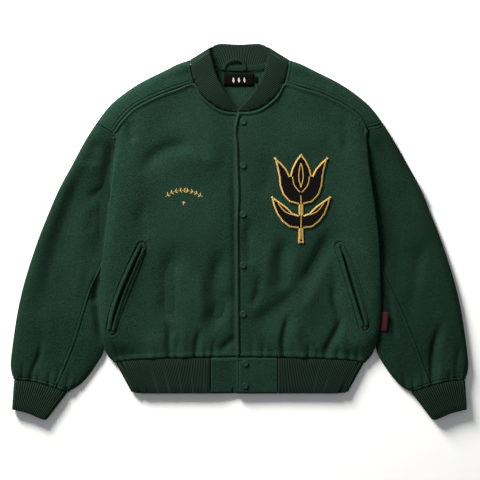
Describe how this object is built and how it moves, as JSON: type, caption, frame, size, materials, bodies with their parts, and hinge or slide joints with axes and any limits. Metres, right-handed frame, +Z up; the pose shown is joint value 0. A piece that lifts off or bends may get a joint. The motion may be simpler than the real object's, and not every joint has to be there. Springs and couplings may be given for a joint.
{
  "type": "fleece jacket",
  "caption": "Fleece bomber jacket laid flat on its back, closed, with rib-knit collar, cuffs and hem, snap front, slanted welt pockets and a felt flower on the chest.",
  "frame": {"origin": "on the surface the jacket lies on, below the middle of its outline", "axes": "+X across the jacket towards the wearer's left sleeve, +Y up towards the collar, +Z up from the surface"},
  "size_m": [0.9168, 0.755, 0.0229],
  "materials": {
    "fleece": "brushed dark green fleece, matt with a soft nap",
    "rib_knit": "dark green rib knit, matt",
    "twill_tape": "dark green twill tape",
    "woven_label": "black woven satin, blank",
    "side_label": "dark maroon woven ribbon, blank",
    "felt": "black felt",
    "gold_thread": "gold satin-stitch thread",
    "snap_enamel": "dark green enamel, half matt"
  },
  "bodies": {
    "root": {"back_panel": "fleece", "front_left": "fleece", "front_right": "fleece", "sleeve_left": "fleece", "sleeve_right": "fleece", "hem_panel_left": "fleece", "hem_panel_right": "fleece", "welt_left_inner": "fleece", "welt_left_outer": "fleece", "welt_right_inner": "fleece", "welt_right_outer": "fleece", "collar_rib": "rib_knit", "cuff_left": "rib_knit", "cuff_right": "rib_knit", "hem_rib": "rib_knit", "neck_tape": "twill_tape", "hanger_loop": "twill_tape", "neck_label": "woven_label", "size_tab": "woven_label", "side_tab": "side_label", "chest_patch": "felt", "snap_1": "snap_enamel", "snap_2": "snap_enamel", "snap_3": "snap_enamel", "snap_4": "snap_enamel", "snap_5": "snap_enamel", "snap_6": "snap_enamel", "snap_7": "snap_enamel"}
  },
  "joints": []
}
